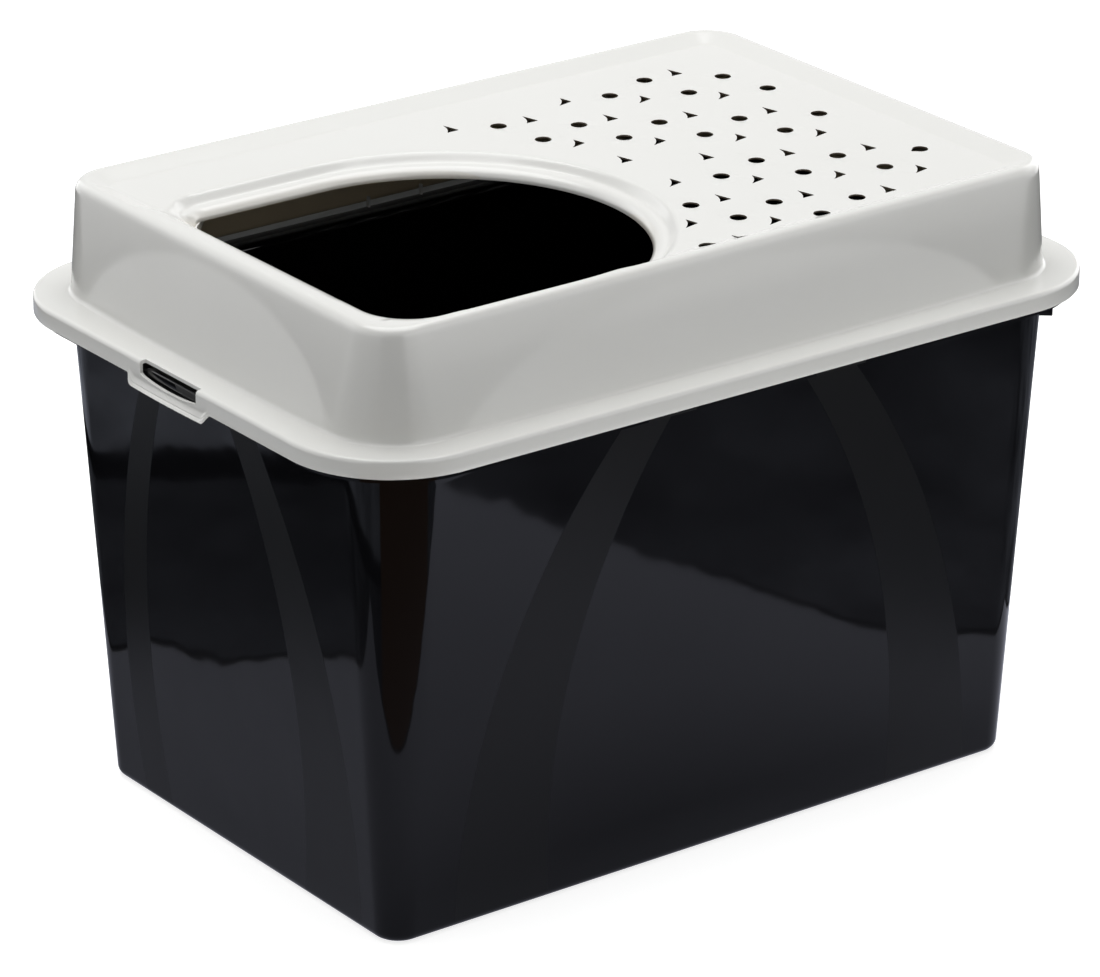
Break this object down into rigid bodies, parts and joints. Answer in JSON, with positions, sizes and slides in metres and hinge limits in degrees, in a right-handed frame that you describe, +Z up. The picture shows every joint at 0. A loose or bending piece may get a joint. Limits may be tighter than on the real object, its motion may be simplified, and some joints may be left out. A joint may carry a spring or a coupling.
{
  "type": "top entry litter box",
  "caption": "Deep tapered tub with a hooded lid that hinges at one short end, a round-ended entry opening in the top, a pierced deck and a springy latch tab.",
  "frame": {"origin": "middle of the tub's flat underside, on the floor", "axes": "+Z up; X along the long side, with the latch at -X and the hinge at +X; -Y is the front long side, nearest the entry opening"},
  "size_m": [0.5755, 0.401, 0.3961],
  "materials": {
    "tub_plastic": "black polypropylene, glossy, with satin curved bands",
    "lid_plastic": "off-white polypropylene with a soft sheen"
  },
  "bodies": {
    "tub": {"tub": "tub_plastic", "latch_catch": "tub_plastic", "hinge_ear_front": "tub_plastic", "hinge_ear_rear": "tub_plastic"},
    "lid": {"lid_flange": "lid_plastic", "lid_walls": "lid_plastic", "lid_rim": "lid_plastic", "lid_deck": "lid_plastic", "hinge_arm_front": "lid_plastic", "hinge_arm_rear": "lid_plastic"},
    "latch_tab": {"latch_tab": "lid_plastic"}
  },
  "joints": [
    {"name": "lid_hinge", "type": "hinge", "parent": "tub", "child": "lid", "pos_m": [0.265, 0, 0.305], "axis": [0, 1, 0], "range_deg": [0, 95]},
    {"name": "latch_flex", "type": "hinge", "parent": "lid", "child": "latch_tab", "pos_m": [-0.28475, 0, 0.325], "axis": [0, 1, 0], "range_deg": [0, 8], "stiffness_Nm_per_rad": 0.6}
  ]
}
